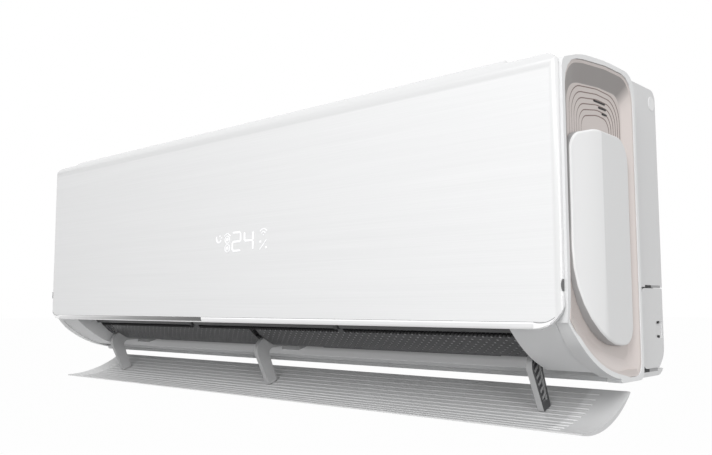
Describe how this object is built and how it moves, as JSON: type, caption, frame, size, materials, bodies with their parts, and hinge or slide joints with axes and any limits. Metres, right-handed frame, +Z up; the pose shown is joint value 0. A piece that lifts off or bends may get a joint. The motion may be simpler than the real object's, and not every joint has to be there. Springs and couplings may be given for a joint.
{
  "type": "mini split indoor unit",
  "caption": "Wall-hung mini split indoor unit with a curved lift-up front panel, dished side inlets and a swing-out louver on arms.",
  "frame": {"origin": "middle of the mounting plate's rear face, where it meets the wall", "axes": "+X along the unit to the right seen from the room, +Y into the wall, +Z up"},
  "size_m": [1.006, 0.2626, 0.3817],
  "materials": {
    "panel_white": "satin white with a faint brushed grain",
    "trim_white": "smooth white",
    "polished_strip": "polished",
    "champagne": "satin champagne",
    "pale_grey": "satin",
    "outlet_grey": "satin",
    "louver_grey": "satin",
    "dark_grey": "matt",
    "mesh_grey": "matt",
    "board_green": "matt",
    "galvanised": "galvanised",
    "fin_aluminium": "plain",
    "motor_steel": "plain"
  },
  "bodies": {
    "unit": {"mounting_plate": "galvanised", "rear_chassis": "pale_grey", "front_frame": "pale_grey", "outlet_lip": "outlet_grey", "drain_pan": "outlet_grey", "top_grille": "pale_grey", "evaporator_coil": "fin_aluminium", "fan_motor": "motor_steel", "fan_bearing": "dark_grey", "louver_motor": "motor_steel", "inner_vane_motor": "motor_steel", "electrical_box": "pale_grey", "electrical_lid": "pale_grey", "end_cap_left": "trim_white", "side_dish_left": "champagne", "side_pad_left": "trim_white", "outlet_cheek_left": "outlet_grey", "pipe_cover_left": "pale_grey", "coil_end_left": "fin_aluminium", "vane_hanger_left": "dark_grey", "swing_rail_left": "dark_grey", "swing_motor_left": "motor_steel", "end_cap_right": "trim_white", "side_dish_right": "champagne", "side_pad_right": "trim_white", "outlet_cheek_right": "outlet_grey", "pipe_cover_right": "pale_grey", "coil_end_right": "fin_aluminium", "vane_hanger_right": "dark_grey", "swing_rail_right": "dark_grey", "swing_motor_right": "motor_steel", "arm_bracket_left": "dark_grey", "arm_bracket_middle": "dark_grey", "arm_bracket_right": "dark_grey"},
    "panel": {"front_panel": "panel_white", "panel_lip_strip": "polished_strip", "display_board": "board_green"},
    "louver": {"louver_plate": "louver_grey", "louver_arm_left": "outlet_grey", "louver_arm_middle": "outlet_grey", "louver_arm_right": "outlet_grey"},
    "vane": {"inner_vane": "dark_grey"},
    "fan": {"cross_flow_fan": "dark_grey"},
    "button": {"manual_button": "dark_grey"},
    "filter_left": {"filter_cassette_left": "mesh_grey"},
    "swing_vane_left_1": {"swing_vane_left_1": "dark_grey"},
    "swing_vane_left_2": {"swing_vane_left_2": "dark_grey"},
    "swing_vane_left_3": {"swing_vane_left_3": "dark_grey"},
    "swing_vane_left_4": {"swing_vane_left_4": "dark_grey"},
    "swing_vane_left_5": {"swing_vane_left_5": "dark_grey"},
    "swing_link_left": {"swing_link_left": "dark_grey"},
    "filter_right": {"filter_cassette_right": "mesh_grey"},
    "swing_vane_right_1": {"swing_vane_right_1": "dark_grey"},
    "swing_vane_right_2": {"swing_vane_right_2": "dark_grey"},
    "swing_vane_right_3": {"swing_vane_right_3": "dark_grey"},
    "swing_vane_right_4": {"swing_vane_right_4": "dark_grey"},
    "swing_vane_right_5": {"swing_vane_right_5": "dark_grey"},
    "swing_link_right": {"swing_link_right": "dark_grey"}
  },
  "joints": [
    {"name": "panel_lift", "type": "hinge", "parent": "unit", "child": "panel", "pos_m": [0, -0.238, 0.15], "axis": [-1, 0, 0], "range_deg": [0, 60]},
    {"name": "louver_swing", "type": "hinge", "parent": "unit", "child": "louver", "pos_m": [0, -0.118, -0.137], "axis": [1, 0, 0], "range_deg": [-44, 0]},
    {"name": "vane_tilt", "type": "hinge", "parent": "unit", "child": "vane", "pos_m": [0, -0.208, -0.112], "axis": [1, 0, 0], "range_deg": [0, 60]},
    {"name": "fan_spin", "type": "hinge", "parent": "unit", "child": "fan", "pos_m": [0, -0.122, 0.004], "axis": [1, 0, 0], "continuous": true},
    {"name": "button_press", "type": "slide", "parent": "unit", "child": "button", "axis": [0, 1, 0], "range_m": [0, 0.0012], "stiffness_N_per_m": 400, "springref_m": -0.001},
    {"name": "filter_lift_left", "type": "slide", "parent": "unit", "child": "filter_left", "axis": [0, 0, 1], "range_m": [0, 0.06]},
    {"name": "swing_left_1", "type": "hinge", "parent": "unit", "child": "swing_vane_left_1", "pos_m": [-0.35, -0.118, -0.136], "axis": [0, 0, 1], "range_deg": [-30, 30]},
    {"name": "swing_left_2", "type": "hinge", "parent": "unit", "child": "swing_vane_left_2", "pos_m": [-0.282, -0.118, -0.136], "axis": [0, 0, 1], "range_deg": [-30, 30]},
    {"name": "swing_left_3", "type": "hinge", "parent": "unit", "child": "swing_vane_left_3", "pos_m": [-0.214, -0.118, -0.136], "axis": [0, 0, 1], "range_deg": [-30, 30]},
    {"name": "swing_left_4", "type": "hinge", "parent": "unit", "child": "swing_vane_left_4", "pos_m": [-0.146, -0.118, -0.136], "axis": [0, 0, 1], "range_deg": [-30, 30]},
    {"name": "swing_left_5", "type": "hinge", "parent": "unit", "child": "swing_vane_left_5", "pos_m": [-0.078, -0.118, -0.136], "axis": [0, 0, 1], "range_deg": [-30, 30]},
    {"name": "link_turn_left", "type": "hinge", "parent": "swing_vane_left_1", "child": "swing_link_left", "pos_m": [-0.35, -0.14, -0.136], "axis": [0, 0, 1], "range_deg": [-30, 30]},
    {"name": "filter_lift_right", "type": "slide", "parent": "unit", "child": "filter_right", "axis": [0, 0, 1], "range_m": [0, 0.06]},
    {"name": "swing_right_1", "type": "hinge", "parent": "unit", "child": "swing_vane_right_1", "pos_m": [0.058, -0.118, -0.136], "axis": [0, 0, 1], "range_deg": [-30, 30]},
    {"name": "swing_right_2", "type": "hinge", "parent": "unit", "child": "swing_vane_right_2", "pos_m": [0.126, -0.118, -0.136], "axis": [0, 0, 1], "range_deg": [-30, 30]},
    {"name": "swing_right_3", "type": "hinge", "parent": "unit", "child": "swing_vane_right_3", "pos_m": [0.194, -0.118, -0.136], "axis": [0, 0, 1], "range_deg": [-30, 30]},
    {"name": "swing_right_4", "type": "hinge", "parent": "unit", "child": "swing_vane_right_4", "pos_m": [0.262, -0.118, -0.136], "axis": [0, 0, 1], "range_deg": [-30, 30]},
    {"name": "swing_right_5", "type": "hinge", "parent": "unit", "child": "swing_vane_right_5", "pos_m": [0.33, -0.118, -0.136], "axis": [0, 0, 1], "range_deg": [-30, 30]},
    {"name": "link_turn_right", "type": "hinge", "parent": "swing_vane_right_1", "child": "swing_link_right", "pos_m": [0.058, -0.14, -0.136], "axis": [0, 0, 1], "range_deg": [-30, 30]}
  ],
  "couplings": [
    {"joint": "swing_left_2", "follows": "swing_left_1", "ratio": 1},
    {"joint": "swing_left_3", "follows": "swing_left_1", "ratio": 1},
    {"joint": "swing_left_4", "follows": "swing_left_1", "ratio": 1},
    {"joint": "swing_left_5", "follows": "swing_left_1", "ratio": 1},
    {"joint": "link_turn_left", "follows": "swing_left_1", "ratio": -1},
    {"joint": "swing_right_2", "follows": "swing_right_1", "ratio": 1},
    {"joint": "swing_right_3", "follows": "swing_right_1", "ratio": 1},
    {"joint": "swing_right_4", "follows": "swing_right_1", "ratio": 1},
    {"joint": "swing_right_5", "follows": "swing_right_1", "ratio": 1},
    {"joint": "link_turn_right", "follows": "swing_right_1", "ratio": -1}
  ]
}
